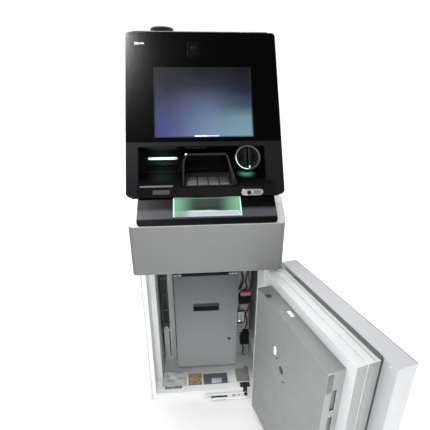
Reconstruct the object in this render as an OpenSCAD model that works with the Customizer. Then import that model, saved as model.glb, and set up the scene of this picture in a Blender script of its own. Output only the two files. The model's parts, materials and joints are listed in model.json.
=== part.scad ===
// Free-standing cash machine: a steel safe with a swing door at the bottom, a sheet-metal upper
// cabinet, and a tilted black fascia that lifts on a top hinge. Millimetres, +Z up, front towards -Y.
// The origin is the centre of the floor-anchor pattern, on the floor.

/* [Cabinet] */
// Outer width of the safe and the upper cabinet
cab_w = 464; // [460:1:470]
// Y of the safe's front face
safe_front = -275; // [-276:1:-274]
// Y of the cabinet's back
cab_back = 275; // [265:5:300]
// Height of the safe
safe_h = 602; // [600:1:606]
// Height of the roof
roof_z = 1300; // [1299:1:1304]
// Thickness of the safe's walls
safe_wall = 12; // [10:1:12]
// Thickness of the upper cabinet's sheet
sheet = 1.5; // [1:0.5:2]

/* [Safe opening] */
// Half-width of the front opening
jamb_x = 203; // [202:1:204]
// Half-width of the opening behind the door stop
stop_x = 184; // [182:1:186]
// Top of the safe's floor plate
floor_z = 20; // [18:1:20]
// Top of the front sill
sill_z = 26; // [24:1:26]
// Radius of a floor-anchor hole
anchor_r = 9; // [7:0.5:9]
// Distance between the floor anchors along X
anchor_dx = 320; // [280:10:340]
// Distance between the floor anchors along Y
anchor_dy = 340; // [300:10:360]

/* [Safe door] */
// X of the door's hinge axis
hinge_x = 238.3; // [238:0.1:239]
// Y of the door's hinge axis
hinge_y = -272.7; // [-273:0.1:-272]
// Angle at which the door stands open
door_open = 104.6; // [90:0.1:110]
// Half-width of the safe door plate
plate_x = 196; // [194:1:196]
// Width of the boltwork cover
bolt_cover_w = 338; // [330:1:340]
// Travel of the locking bolts
bolt_travel = 24; // [20:1:24]

/* [Waist] */
// Y of the apron's front face
apron_front = -330; // [-332:1:-328]
// Bottom of the apron
apron_z0 = 586; // [585:1:588]
// Top edge of the apron's front face
apron_z1 = 745; // [743:1:746]

/* [Fascia] */
// Width of the black fascia
fascia_w = 490; // [486:1:494]
// Length of the fascia along its slope
fascia_len = 544; // [543:1:545]
// Lean of the fascia from vertical
fascia_tilt = 28.3; // [28:0.1:28.6]
// Where the glass meets the lower bezel, along the slope
seam = 171; // [170:1:172]
// Width of the display window
display_w = 313; // [305:1:315]
// Height of the display window
display_h = 235; // [228:1:236]

/* [Keypad] */
// Slope of the keypad
pad_tilt = 14; // [13:0.5:15]
// Distance between key columns
key_dx = 33; // [31:0.5:33]
// Distance between key rows
key_dy = 13; // [12.5:0.5:13]
// Travel of a key
key_travel = 2; // [1.5:0.1:2]

/* [Dispenser] */
// X of the dispenser's centre
rack_x = -1.5; // [-2:0.5:-1]
// Width of the dispenser
rack_w = 244; // [240:1:244]
// Y of the dispenser's front cover
rack_front = -157; // [-158:1:-156]
// Top of the dispenser's front cover
rack_top = 467; // [460:1:470]

/* [Hidden] */
$fn = 48;
e = 1;                                   // overshoot of a cut
half = cab_w / 2;
running = 0.05;                          // radial clearance of a running fit
sheet2 = 2;                              // thickness of the apron's sheet
apron_r = 14;                            // radius of the apron's upright corners

// The fascia's plane starts at its bottom edge and leans back.
fascia_y = -248;
fascia_z = 810;
st = sin(fascia_tilt);
ct = cos(fascia_tilt);
function on_slope(u, w) = [fascia_y + u * st + w * ct, fascia_z + u * ct - w * st];
fascia_r = 12;                           // corner radius of the fascia
skin = 4;                                // thickness of the glass and the bezel
frame_w = 22;                            // depth of the frame behind the glass
lift_y = 58;                             // axis that the fascia lifts about
lift_z = 1290;
lift_pin_r = 4;
tub_x0 = -209;                           // recess of the console
tub_x1 = 190;
tub_u0 = 30;
tub_u1 = 158;
tub_w = 58;
deck_front = -268;
deck_z = 841;
deck_rise = tan(10.6);
function deck_at(y) = deck_z + (y - deck_front) * deck_rise;
pad_x = 6;                               // keypad's centre
reader_x = 133;                          // card reader's centre
reader_u = 117.5;
reader_r = 40.5;

// The waist's sloping top
waist_slope = 0.8133;
function waist_at(y) = apron_z1 + (y - apron_front) * waist_slope;
tray_x = 102;                            // half-width of the cash tray
tray_front = -313;
tray_back = -262;
tray_z = 761;

// The safe door, closed
door_inner = -208;                       // half a millimetre off the stop
door_outer = -267;
slab = 12;
door_top = 576;
door_bottom = 36;
box_inner = -161.5;
box_z0 = 51;
box_z1 = 547;
pan_front = apron_front;
pan_back = -277;
pan_z0 = 42;
pan_z1 = 583;
handle_at = [-60, 290];
dial_at = [-85, 395];
hinge_zs = [90, 450];                    // bottoms of the two hinges
hinge_h = 80;
knuckle_r = 6;
knuckle_lo = 26.5;                       // the door's knuckle lies between these heights
knuckle_hi = 53.5;
bolt_zs = [for (i = [0:4]) 124 + 84 * i];
stay_at = [140, -292];
gland_x = -190;                          // mains cable entry at the back
gland_z = 660;

module along_x(x0, x1) { translate([x0, 0, 0]) rotate([90, 0, 90]) linear_extrude(x1 - x0) children(); }
module along_y(y0, y1) { translate([0, y1, 0]) rotate([90, 0, 0]) linear_extrude(y1 - y0) children(); }
module block(x, y, z) { translate([x[0], y[0], z[0]]) cube([x[1] - x[0], y[1] - y[0], z[1] - z[0]]); }
module rounded(x0, x1, y0, y1, r) {
    translate([x0 + r, y0]) square([x1 - x0 - 2 * r, y1 - y0]);
    translate([x0, y0 + r]) square([x1 - x0, y1 - y0 - 2 * r]);
    for (x = [x0 + r, x1 - r], y = [y0 + r, y1 - r]) translate([x, y]) circle(r);
}
module peg(x, z, r, y0, y1) { translate([x, y1, z]) rotate([90, 0, 0]) cylinder(r = r, h = y1 - y0); }
module open_door() {
    translate([hinge_x, hinge_y, 0]) rotate([0, 0, door_open]) translate([-hinge_x, -hinge_y, 0])
        children();
}
module on_fascia() { translate([0, fascia_y, fascia_z]) rotate([-fascia_tilt, 0, 0]) children(); }
module fascia_plate(w0, w1, u0, u1, in = 0) {
    along_y(w0, w1) intersection() {
        rounded(-fascia_w / 2 + in, fascia_w / 2 - in, in, fascia_len - in, fascia_r);
        translate([-fascia_w, u0]) square([2 * fascia_w, u1 - u0]);
    }
}
module on_keypad() { translate([pad_x, -261, 842.5]) rotate([pad_tilt, 0, 0]) children(); }

// ---- Safe and cabinet ----
module safe_body() color("gainsboro") difference() {
    block([-half, half], [safe_front, cab_back], [0, safe_h]);
    block([-half + safe_wall, half - safe_wall], [-196, cab_back - safe_wall], [floor_z, safe_h - safe_wall]);
    block([-stop_x, stop_x], [-247, -195], [floor_z, 577]);
    block([-jamb_x, jamb_x], [safe_front - e, door_inner + 0.5], [sill_z, 583]);
    for (x = [-1, 1], y = [-1, 1]) translate([x * anchor_dx / 2, y * anchor_dy / 2, -e])
        cylinder(r = anchor_r, h = floor_z + 2 * e);
    block([-95, 95], [-75, 15], [safe_h - safe_wall - e, safe_h + e]);
}
lip_z = 797.5;                           // the cabinet's front lip passes under the fascia's bottom edge
cab_side = [[safe_front, safe_h], [safe_front, waist_at(safe_front)], [-255, waist_at(-255)],
    [-253, lip_z], [-228.2, lip_z], on_slope(527, frame_w + 1), [62, 1279], [64, roof_z],
    [cab_back, roof_z], [cab_back, safe_h]];
cab_inner = [[safe_front + sheet, safe_h + sheet], [safe_front + sheet, waist_at(safe_front) - 1.2],
    [-256, waist_at(-256) - 2], [-254.5, lip_z - sheet], [-240, lip_z - sheet], on_slope(2, 10),
    on_slope(535, 10), [50, 1290], [50, roof_z - sheet], [cab_back - sheet, roof_z - sheet],
    [cab_back - sheet, safe_h + sheet]];
module upper_cabinet() color("whitesmoke") difference() {
    along_x(-half, half) polygon(cab_side);
    along_x(-half + sheet, half - sheet) polygon(cab_inner);
    block([-200, 200], [safe_front - e, -225], [700, 812]);
    block([-95, 95], [-75, 15], [safe_h - e, safe_h + 2 * e]);
    translate([gland_x, cab_back - 5, gland_z]) rotate([-90, 0, 0]) cylinder(r = 14, h = 10);
    for (i = [0:7]) block([-60, 60], [cab_back - 5, cab_back + e], [1080 + 14 * i, 1085 + 14 * i]);
}
module apron_cover() color("whitesmoke") difference() {
    intersection() {
        along_x(-half, half) polygon([[apron_front, apron_z0], [apron_front, apron_z1],
            [safe_front - 0.2, waist_at(safe_front - 0.2)], [safe_front - 0.2, apron_z0]]);
        translate([0, 0, apron_z0 - e]) linear_extrude(250)
            rounded(-half, half, apron_front, 0, apron_r);
    }
    intersection() {
        along_x(-half + sheet2, half - sheet2) polygon([[apron_front + sheet2, apron_z0 + sheet2],
            [apron_front + sheet2, apron_z1 - 1], [safe_front + e, waist_at(safe_front + e) - 2.6],
            [safe_front + e, apron_z0 + sheet2]]);
        translate([0, 0, apron_z0 - e]) linear_extrude(250)
            rounded(-half + sheet2, half - sheet2, apron_front + sheet2, 0, apron_r - sheet2);
    }
    block([-195, 195], [apron_front + 8, safe_front + e], [apron_z1 - 6, 800]);
}
module console_shelf() color("#1b1c1f") difference() {
    intersection() {
        along_x(-207, 207) polygon([[-329.5, 745.8], [-329.5, 749], [-318, 762], [-262, 808.3],
            [-250, 808.3], [-250, 806.4], [-254.8, 806.4]]);
        translate([0, 0, 700]) linear_extrude(200) rounded(-207, 207, -329.5, -200, 10);
    }
    block([-tray_x, tray_x], [tray_front, tray_back + 3.2], [700, 900]);
}
module cash_tray() color("#9be8b4") difference() {
    union() {
        block([-tray_x + 0.2, tray_x - 0.2], [tray_front + 0.2, -259], [tray_z - 3, tray_z]);
        block([-tray_x + 0.2, tray_x - 0.2], [tray_back + 0.2, -259], [tray_z, 808]);
        for (x = [-tray_x + 0.2, tray_x - 2.7]) along_x(x, x + 2.5)
            polygon([[tray_front + 0.2, tray_z], [-261, tray_z], [-261, 806], [tray_front + 2, 764]]);
    }
    block([-90, 90], [-270, -250], [770, 795]);
}
module cash_shutter() color("#7fc79a") block([-95, 95], [-258.5, -257], [766, 799]);
module antenna_puck() color("#141414") translate([-134, 110, roof_z]) rotate_extrude()
    polygon([[0, 0], [38.5, 0], [40.5, 3], [40.5, 12], [36.5, 16], [0, 16]]);
module cable_gland() color("#202020") translate([gland_x, cab_back, gland_z]) rotate([-90, 0, 0]) difference() {
    union() {
        cylinder(r = 18, h = 8);
        translate([0, 0, -12]) cylinder(r = 13.6, h = 13);
        translate([0, 0, 8]) cylinder(r = 13, h = 14);
    }
    translate([0, 0, -13]) cylinder(r = 6, h = 40);
}

// ---- Hinges, latches and stay ----
module hinge_fixed() color("silver") for (z = hinge_zs) translate([0, 0, z]) {
    block([half, half + 4], [-264, -226], [0, hinge_h]);
    for (s = [[0, knuckle_lo - 0.3], [knuckle_hi + 0.3, hinge_h]]) {
        translate([hinge_x, hinge_y, s[0]]) cylinder(r = knuckle_r, h = s[1] - s[0]);
        block([half + 0.3, half + 4], [hinge_y, -263], s);
    }
    translate([hinge_x, hinge_y, -3]) cylinder(r = 3, h = hinge_h + 6);
}
module hinge_door() color("silver") open_door() for (z = hinge_zs) translate([0, 0, z]) difference() {
    union() {
        translate([hinge_x, hinge_y, knuckle_lo]) cylinder(r = knuckle_r, h = knuckle_hi - knuckle_lo);
        block([229, hinge_x], [-281, -276.2], [knuckle_lo, knuckle_hi]);
        block([150, 229.5], [-281, -276.2], [0, hinge_h]);
        block([150, 186], [-276.5, door_outer], [0, hinge_h]);
    }
    translate([hinge_x, hinge_y, 0]) cylinder(r = 3 + running, h = hinge_h);
}
module fascia_brackets() color("silver") for (s = [-1, 1]) {
    for (x = [137, 163]) along_x(s * x - 2.5, s * x + 2.5)
        union() {
            translate([lift_y, lift_z]) circle(6);
            polygon([[lift_y, lift_z + 6], [lift_y, lift_z - 6], [lift_y + 6, lift_z - 6],
                [88, 1294], [88, roof_z - sheet], [66, roof_z - sheet], [66, lift_z + 6]]);
        }
    block([s * 150 - 13, s * 150 + 13], [69, 88], [roof_z - sheet - 3, roof_z - sheet]);
    translate([s * 150 - 16, lift_y, lift_z]) rotate([0, 90, 0]) cylinder(r = lift_pin_r, h = 32);
}
module strike_plate() color("#2a2a2a") difference() {
    block([-172, -106], [-258, -244 - 4], [sill_z, sill_z + 2]);
    for (x = [-160, -118]) translate([x, -253, sill_z - e]) cylinder(r = 2.5, h = 5);
}
module stay_bracket() color("#3a3a3a") {
    block([122, 160], [-271, -250], [sill_z, sill_z + 3]);
    block([132, 148], [-278.5, safe_front], [5, sill_z + 3]);
    block([132, 148], [-278.5, -270], [sill_z, sill_z + 3]);
    block([132, 148], [-300, -278], [5, 8]);
    translate([stay_at[0], stay_at[1], 5]) cylinder(r = 4, h = 9);
    translate([stay_at[0], stay_at[1], 13]) cylinder(r = 7, h = 3);
    translate([128, -262, sill_z + 3]) cylinder(r = 4, h = 2);
    translate([150, -262, sill_z + 3]) cylinder(r = 4, h = 2);
}
module stay_arm() color("white") difference() {
    translate([0, 0, 9]) linear_extrude(3) {
        rounded(-22, stay_at[0], -304, -280, 4);
        translate([120, -304]) square([20, 24]);
        translate(stay_at) circle(12);
    }
    translate([stay_at[0], stay_at[1], 0]) cylinder(r = 4 + running, h = 20);
    translate([8, stay_at[1], 0]) cylinder(r = 7, h = 20);
    translate([68, stay_at[1], 0]) cylinder(r = 4.5, h = 20);
    block([8, 68], [stay_at[1] - 4.5, stay_at[1] + 4.5], [0, 20]);
}

// ---- Inside the safe ----
rail_out = rack_w / 2 + 9;
rack_z0 = 29;                            // the rack clears the sill when it is drawn out
module slide_rails() color("silver") for (s = [-1, 1]) translate([rack_x, 0, 0]) {
    block(s > 0 ? [rail_out - 2.5, rail_out] : [-rail_out, 2.5 - rail_out], [-95, 190], [floor_z, 67]);
    for (z = [39, 64]) block(s > 0 ? [rail_out - 7, rail_out] : [-rail_out, 7 - rail_out], [-95, 190], [z, z + 3]);
    block(s > 0 ? [rail_out, rail_out + 15] : [-rail_out - 15, -rail_out], [-95, 190], [floor_z, floor_z + 3]);
}
module side_channels() color("#a9b0b0") difference() {
    union() {
        block([-178, -130.2], [-104, -102], [floor_z, 482]);
        block([-178, -176], [-102, -50], [floor_z, 482]);
        block([128.2, 178], [-104, -102], [floor_z, 482]);
        block([176, 178], [-102, -50], [floor_z, 482]);
    }
    block([-157, -153], [-110, -98], [40, 178]);
}
module cable_duct() color("#2c2f31") block([-178, -152], [-126, -104.2], [205, 480]);
module outlet_box() color("#17181a") block([140, 176], [-132, -104.2], [108, 165]);
module rack_frame() color("#8f9997") translate([rack_x, 0, 0]) {
    difference() {
        block([-rack_w / 2, rack_w / 2], [rack_front + 4, 170], [rack_z0, rack_top - 5]);
        block([-rack_w / 2 + 2, rack_w / 2 - 2], [rack_front, 168], [rack_z0 + 2, rack_top - 7]);
        block([-92, 92], [-75, 15], [rack_top - 20, rack_top]);
    }
    for (s = [-1, 1]) block(s > 0 ? [rack_w / 2, rack_w / 2 + 5] : [-rack_w / 2 - 5, -rack_w / 2],
        [-90, 165], [44, 61]);
}
module rack_cover() color("#8f9997") translate([rack_x, 0, 0]) difference() {
    block([-rack_w / 2, rack_w / 2], [rack_front, rack_front + 4], [rack_z0, rack_top]);
    block([-51.5, 49.5], [rack_front - e, rack_front + 5], [308, 344]);
    peg(90, 168, 7, rack_front - e, rack_front + 5);
}
module rack_handle() color("#101112") translate([rack_x, 0, 0]) {
    difference() {
        block([-51.3, 49.3], [rack_front, rack_front + 24], [308.2, 343.8]);
        block([-49.3, 47.3], [rack_front - e, rack_front + 22], [310.2, 341.8]);
    }
    block([-50, 48], [rack_front + 0.5, rack_front + 5], [332, 342]);
    peg(90, 168, 6.8, rack_front - 1, rack_front + 12);
}
module cassette() color("#3c4046") translate([rack_x, 0, 0]) {
    block([-100, 100], [-120, 150], [32, 170]);
    block([-100, 100], [-120, 150], [172, 250]);
    difference() {
        block([-60, 60], [-128, -119], [90, 120]);
        block([-50, 50], [-129, -122], [96, 114]);
    }
}
module pick_unit() color("#6d7478") translate([rack_x, 0, 0]) {
    for (x = [-106, 103]) block([x, x + 3], [-110, 150], [262, 450]);
    for (p = [[-80, 300], [-20, 300], [40, 300], [-50, 350], [10, 350], [-30, 420]])
        translate([-104, p[0], p[1]]) rotate([0, 90, 0]) cylinder(r = 12, h = 208);
    block([-104, 104], [80, 150], [270, 440]);
}

// ---- Inside the upper cabinet ----
module metal_case(x, y, z, t) difference() {
    block(x, y, z);
    block([x[0] + t, x[1] - t], [y[0] + t, y[1] - t], [z[0] - e, z[1] - t]);
}
module control_unit() color("#b9bec0") metal_case([-150, 150], [70, 260], [604, 860], 3);
module power_supply() color("#8d9294") metal_case([-60, 120], [120, 260], [862, 950], 3);
module note_transport() color("#4c5154") along_x(-86, 86)
    polygon([[-70, 604], [10, 604], [10, 700], [-180, 796], [-252, 796],
        [-252, 764], [-190, 764], [-70, 690]]);

// ---- Safe door ----
module safe_door() color("#c9cccc") open_door() difference() {
    union() {
        block([-plate_x, plate_x], [-235, door_inner], [door_bottom, door_top]);
        block([-plate_x - 2, plate_x + 1], [door_outer, -235], [door_bottom - 2, door_top + 3]);
    }
    block([-plate_x + 12, 148], [door_outer - e, door_inner - slab], [48, 564]);
    peg(handle_at[0], handle_at[1], 8 + running, -240, -200);
    peg(dial_at[0], dial_at[1], 5 + running, -240, -200);
}
module door_pan() color("#d9dbdc") open_door() difference() {
    union() {
        difference() {
            block([-half, half], [pan_front, pan_back], [pan_z0, pan_z1]);
            block([-half + sheet, half - sheet], [pan_front + sheet, pan_back + e], [pan_z0 + sheet, pan_z1 - sheet]);
        }
        difference() {
            block([-half, half], [pan_back - sheet, pan_back], [pan_z0, pan_z1]);
            block([-180, 130], [pan_back - 5, pan_back + e], [58, 560]);
        }
        block([-152, -18], [pan_front, -280], [188, 452]);
    }
    block([-150, -20], [pan_front - e, -278.4], [190, 450]);
    for (z = hinge_zs) block([140, half + e], [-282, pan_back + e], [z - 1, z + hinge_h + 1]);
}
module door_gasket() color("#3b3d3f") open_door() difference() {
    block([-195, 146], [pan_back, door_outer], [42, 577]);
    block([-181, 132], [pan_back - e, door_outer + e], [56, 563]);
}
module boltwork_cover() color("#b4b8b7") open_door() difference() {
    block([-bolt_cover_w / 2, bolt_cover_w / 2], [door_inner, box_inner], [box_z0, box_z1]);
    block([2 - bolt_cover_w / 2, bolt_cover_w / 2 - 2], [door_inner - e, box_inner - 2], [box_z0 + 2, box_z1 - 2]);
    for (z = bolt_zs) block([-bolt_cover_w / 2 - e, 4 - bolt_cover_w / 2], [-192, -180], [z - 31, z + 31]);
    peg(7, 379, 7, -165, -160);
    peg(-8, 352, 2.5, -165, -160);
    peg(38, 112, 2.5, -165, -160);
    block([41, 49], [-165, -160], [404, 428]);
}
module lock_case() color("#c8a964") open_door() difference() {
    block([-126, -44], [door_inner, -178], [352, 438]);
    peg(dial_at[0], dial_at[1], 7, -210, -190);
}
module bolt_bar() color("silver") open_door() {
    block([-142, -128], [-190, -182], [90, 494]);
    for (z = bolt_zs) block([1 - bolt_cover_w / 2, -141], [-190, -182], [z - 27, z + 27]);
    block([-129, -76], [-190, -182], [256, 272]);
}
module lever_handle() color("#3a3d40") open_door() {
    peg(handle_at[0], handle_at[1], 16, -322, -221);
    peg(handle_at[0], handle_at[1], 8, -222, -196);
    peg(handle_at[0], handle_at[1], 22, -204, -194);
    block([handle_at[0] - 9, handle_at[0] + 9], [-324, -310], [handle_at[1] - 78, handle_at[1]]);
}
module dial() color("#222325") open_door() {
    peg(dial_at[0], dial_at[1], 34, -312, -300);
    peg(dial_at[0], dial_at[1], 20, -326, -311);
    peg(dial_at[0], dial_at[1], 5, -301, -200);
}

// ---- Fascia ----
module fascia_frame() color("#0e0e10") {
    on_fascia() {
        difference() {
            fascia_plate(skin, frame_w, 0, fascia_len);
            block([-225, 225], [0, 30], [14, fascia_len - 14]);
        }
        block([-226, 226], [skin, frame_w], [seam - 9, seam + 9]);
    }
    along_x(-fascia_w / 2 + 3, fascia_w / 2 - 3)
        polygon([[14, 1286], [50.5, 1294.5], [50.5, 1291.5], [30, 1281], [20, 1279]]);
    for (s = [-1, 1]) difference() {
        union() {
            block([s * 150 - 9, s * 150 + 9], [30, lift_y], [lift_z - 5, lift_z + 3]);
            translate([s * 150 - 9, lift_y, lift_z]) rotate([0, 90, 0]) cylinder(r = 7.5, h = 18);
        }
        translate([s * 150 - 10, lift_y, lift_z]) rotate([0, 90, 0]) cylinder(r = lift_pin_r + running, h = 20);
    }
}
display_u = seam + 15.5;
module screen_glass() color("#050506") on_fascia() difference() {
    fascia_plate(0, skin, seam + 0.5, fascia_len);
    block([-display_w / 2, display_w / 2], [-e, skin + e], [display_u, display_u + display_h]);
}
module display_panel() color("#5566aa") on_fascia() {
    block([0.2 - display_w / 2, display_w / 2 - 0.2], [0.6, 30], [display_u + 0.2, display_u + display_h - 0.2]);
}
module lower_bezel() color("#26272b") on_fascia() difference() {
    fascia_plate(0, skin, 0, seam - 0.5);
    block([tub_x0, tub_x1], [-e, skin + e], [tub_u0, tub_u1]);
    peg(reader_x, reader_u, reader_r + 2.5, -e, skin + e);
}
deck_knee = -227.4;                      // where the deck's top passes through the fascia's plane
function face_y(z) = fascia_y - 0.2 + (z - fascia_z) * tan(fascia_tilt);
module console_tub() color("#1a1b1e") difference() {
    union() {
        along_x(-206, 206) polygon([[deck_front, 812], [deck_front, deck_z],
            [face_y(deck_at(deck_knee)), deck_at(deck_knee)], [face_y(812), 812]]);
        along_x(tub_x0 + 0.3, tub_x1 - 0.3) polygon([[deck_knee, deck_at(deck_knee) - 4],
            [deck_knee, deck_at(deck_knee)], [-157, deck_at(-157)], [-157, deck_at(-157) - 4]]);
        intersection() {
            on_fascia() {
                for (x = [tub_x0 + 0.3, tub_x1 - 2.8]) block([x, x + 2.5], [0, tub_w], [20, tub_u1 - 0.3]);
                block([tub_x0 + 0.3, tub_x1 - 0.3], [tub_w - 2.5, tub_w], [60, tub_u1 - 0.3]);
                block([tub_x0 + 0.3, tub_x1 - 0.3], [0, tub_w], [tub_u1 - 2.8, tub_u1 - 0.3]);
            }
            along_x(-300, 300) polygon([[deck_knee, deck_at(deck_knee) - 1], [0, deck_at(0) - 1], [0, 1100],
                [deck_knee, 1100]]);
        }
    }
    on_keypad() block([-71, 71], [-1, 89.5], [-30, 30]);
    on_fascia() {
        peg(reader_x, reader_u, reader_r + 0.5, -30, 40);
        block([-186, -88], [50, 60], [131, 141]);
        block([reader_x - 4, reader_x + 4], [50, 60], [reader_u - 28, reader_u + 30]);
    }
}
key_w = 28;
key_d = 10.5;
function key_x(c) = (c - 2.5) * key_dx;
function key_y(r) = 8.5 + (4 - r) * key_dy;
// Across the hood: nearly upright on the left, leaning outwards on the right
hood_outline = [[-71, 830], [-71, 900], [-66, 916], [-56, 928], [62, 928], [70, 922], [92, 840], [92, 830]];
module keypad_base() color("#55585c") on_keypad() difference() {
    block([-70.5, 70.5], [0, 88], [-10, 0]);
    for (c = [1:4], r = [1:4]) translate([key_x(c), key_y(r), -5.2])
        linear_extrude(10) rounded(-key_w / 2 - 0.5, key_w / 2 + 0.5, -key_d / 2 - 0.5, key_d / 2 + 0.5, 2.5);
}
module key_cap(r, c) color("#8b8e92") on_keypad() translate([key_x(c), key_y(r), -3])
    linear_extrude(6.2) rounded(-key_w / 2, key_w / 2, -key_d / 2, key_d / 2, 2);
module keypad_shield() color("#131416") {
    intersection() {
        along_x(-90, 110) polygon([[-262, 844.4], [-256, 862], [-196, 924], [-184, 928],
            on_slope(149, tub_w - 3), on_slope(91, tub_w - 3)]);
        along_y(-270, -120) difference() {
            polygon(hood_outline);
            polygon([[-66, 830], [-66, 899], [-62, 914], [-54, 924], [60, 924], [66, 919], [77.5, 868], [77.5, 830]]);
        }
    }
    intersection() {
        along_x(-90, 110) polygon([[-196, 924], [-184, 928], on_slope(149, tub_w - 3), on_slope(146, tub_w - 3),
            [-184, 924.6], [-194, 921.6]]);
        along_y(-270, -120) polygon(hood_outline);
    }
}
module receipt_printer() color("#33363a") on_fascia() {
    block([-196, -80], [tub_w + 0.5, 180], [98, 152]);
    translate([-170, 120, 190]) rotate([0, 90, 0]) cylinder(r = 36, h = 80);
}
module card_bezel() color("#0c0c0e") on_fascia() {
    difference() {
        peg(reader_x, reader_u, reader_r, -2, 30);
        peg(reader_x, reader_u, reader_r - 7, -3, 5);
        peg(reader_x, reader_u, 28.1, 4, 31);
    }
    for (x = [-30, 2.5]) intersection() {
        peg(reader_x, reader_u, 28, 5, tub_w - 2.5);
        block([reader_x + x, reader_x + x + 27.5], [0, tub_w], [reader_u - 30, reader_u + 30]);
    }
}
module card_reader() color("#2f3236") on_fascia() difference() {
    block([reader_x - 30, reader_x + 30], [tub_w + 0.5, 190], [88, 148]);
    block([reader_x - 2.5, reader_x + 2.5], [tub_w, 150], [reader_u - 27, reader_u + 27]);
}

safe_body();
upper_cabinet();
apron_cover();
console_shelf();
cash_tray();
antenna_puck();
cable_gland();
hinge_fixed();
fascia_brackets();
strike_plate();
stay_bracket();
slide_rails();
cable_duct();
side_channels();
outlet_box();
control_unit();
power_supply();
note_transport();
safe_door();
door_pan();
door_gasket();
boltwork_cover();
hinge_door();
lock_case();
bolt_bar();
lever_handle();
dial();
stay_arm();
cash_shutter();
rack_frame();
rack_cover();
rack_handle();
cassette();
pick_unit();
fascia_frame();
screen_glass();
display_panel();
lower_bezel();
console_tub();
keypad_base();
keypad_shield();
receipt_printer();
card_bezel();
card_reader();
for (r = [1:4], c = [1:4]) key_cap(r, c);
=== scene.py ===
import json
import math

import bmesh
import bpy
from mathutils import Matrix, Vector


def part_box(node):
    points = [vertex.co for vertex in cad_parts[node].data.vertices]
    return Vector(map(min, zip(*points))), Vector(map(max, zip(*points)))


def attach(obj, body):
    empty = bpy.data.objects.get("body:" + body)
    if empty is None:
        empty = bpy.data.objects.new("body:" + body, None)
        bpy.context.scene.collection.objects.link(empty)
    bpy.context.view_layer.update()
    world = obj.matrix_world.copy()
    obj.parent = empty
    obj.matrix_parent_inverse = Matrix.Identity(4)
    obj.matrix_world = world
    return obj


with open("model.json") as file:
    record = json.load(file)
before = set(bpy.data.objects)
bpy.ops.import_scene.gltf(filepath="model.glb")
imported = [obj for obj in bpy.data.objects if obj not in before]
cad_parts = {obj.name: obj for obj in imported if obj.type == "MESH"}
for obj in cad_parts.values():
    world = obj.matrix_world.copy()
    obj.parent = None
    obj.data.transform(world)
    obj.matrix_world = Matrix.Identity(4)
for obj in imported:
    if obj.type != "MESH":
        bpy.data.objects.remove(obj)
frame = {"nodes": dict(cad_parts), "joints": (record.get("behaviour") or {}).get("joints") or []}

# Lengths are in millimetres until mesh_object() turns them into metres.
# +Z is up, -Y is the customer's side and +X the customer's right.
MM = 0.001
NODES = frame["nodes"]
JOINTS = {joint["name"]: joint for joint in frame["joints"]}
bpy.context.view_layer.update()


def span(node):
    """Lowest and highest corner of a CAD node, in millimetres."""
    low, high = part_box(node)
    return low / MM, high / MM


def turn(degrees, axis):
    return Matrix.Rotation(math.radians(degrees), 4, axis)


def at(x, y, z):
    return Matrix.Translation((x, y, z))


# ---- Places worked out from the CAD ----
TILT = 28.3  # how far the fascia leans back
bezel_low = span("lower_bezel")[0]
SKIN = 4  # thickness of the glass and the bezel
FASCIA_FOOT = at(0, bezel_low.y, bezel_low.z + SKIN * math.sin(math.radians(TILT)))
FASCIA = FASCIA_FOOT @ turn(-TILT, "X")  # local x, depth behind the glass, way up the slope
PAD_TILT = math.degrees(math.asin(JOINTS["key_11_press"]["axis"][1]))
KEYPAD = at(6, -261, 842.5) @ turn(PAD_TILT, "X")
KEY_DX, KEY_DY = 33, 13  # distances between key columns and between key rows
FIRST_ROW = 8.5  # the nearest key row, up the keypad
KEY_TOP = 3.2
hinge = Vector(JOINTS["door_hinge"]["pos_m"]) / MM
OPEN_ANGLE = -JOINTS["door_hinge"]["range_deg"][0]
DOOR = at(hinge.x, hinge.y, 0) @ turn(OPEN_ANGLE, "Z") @ at(-hinge.x, -hinge.y, 0)
DECK_FRONT = -268  # front of the console's deck
DECK_RISE = math.tan(math.radians(10.6))
TUB_BACK = 55.5  # depth of the console's back wall
TUB_TOP = 155.2
READER_X, READER_U = 133, 117.5  # centre of the card reader, across and up the fascia
WORLD = Matrix.Identity(4)


def deck(y):
    """Height of the console deck's top."""
    return 841 + (y - DECK_FRONT) * DECK_RISE


# ---- Mesh building ----
def add_object(name, data):
    made = bpy.data.objects.new(name, data)
    bpy.context.scene.collection.objects.link(made)
    return made


def mesh_object(name, bm, look, crease=35):
    """Turns a mesh in millimetres into an object in metres. look is a name in LOOKS."""
    bmesh.ops.recalc_face_normals(bm, faces=bm.faces)
    bm.transform(Matrix.Scale(MM, 4))
    mesh = bpy.data.meshes.new(name)
    bm.to_mesh(mesh)
    bm.free()
    mesh.shade_smooth()
    mesh.set_sharp_from_angle(angle=math.radians(crease))
    mesh.materials.append(LOOKS[look].material)
    return add_object(name, mesh)


def piece(name, bm, look, body, crease=35):
    """An object that rides on a body."""
    made = mesh_object(name, bm, look, crease)
    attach(made, body)


def one(name, look, body, slot, add, *sizes, **more):
    """A piece made of a single shape, which the function add makes."""
    bm = bmesh.new()
    add(bm, *sizes, **more)
    piece(name, bm, look, body)


def add_block(bm, x, y, z, soft=0.5, place=WORLD):
    """A block with rounded edges. x, y and z are (low, high)."""
    verts = bmesh.ops.create_cube(bm, size=1)["verts"]
    size = Matrix.Diagonal((x[1] - x[0], y[1] - y[0], z[1] - z[0], 1))
    middle = at((x[0] + x[1]) / 2, (y[0] + y[1]) / 2, (z[0] + z[1]) / 2)
    bmesh.ops.transform(bm, matrix=place @ middle @ size, verts=verts)
    edges = list({edge for vert in verts for edge in vert.link_edges})
    if soft:
        bmesh.ops.bevel(bm, geom=edges, offset=soft, segments=2, profile=0.6, affect="EDGES")


def ring(bm, points, place):
    return [bm.verts.new(place @ Vector(point)) for point in points]


def skin(bm, loops):
    """Faces between each loop of vertices and the next."""
    for a, b in zip(loops, loops[1:]):
        for i in range(len(a)):
            j = (i + 1) % len(a)
            bm.faces.new((a[i], a[j], b[j], b[i]))


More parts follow.
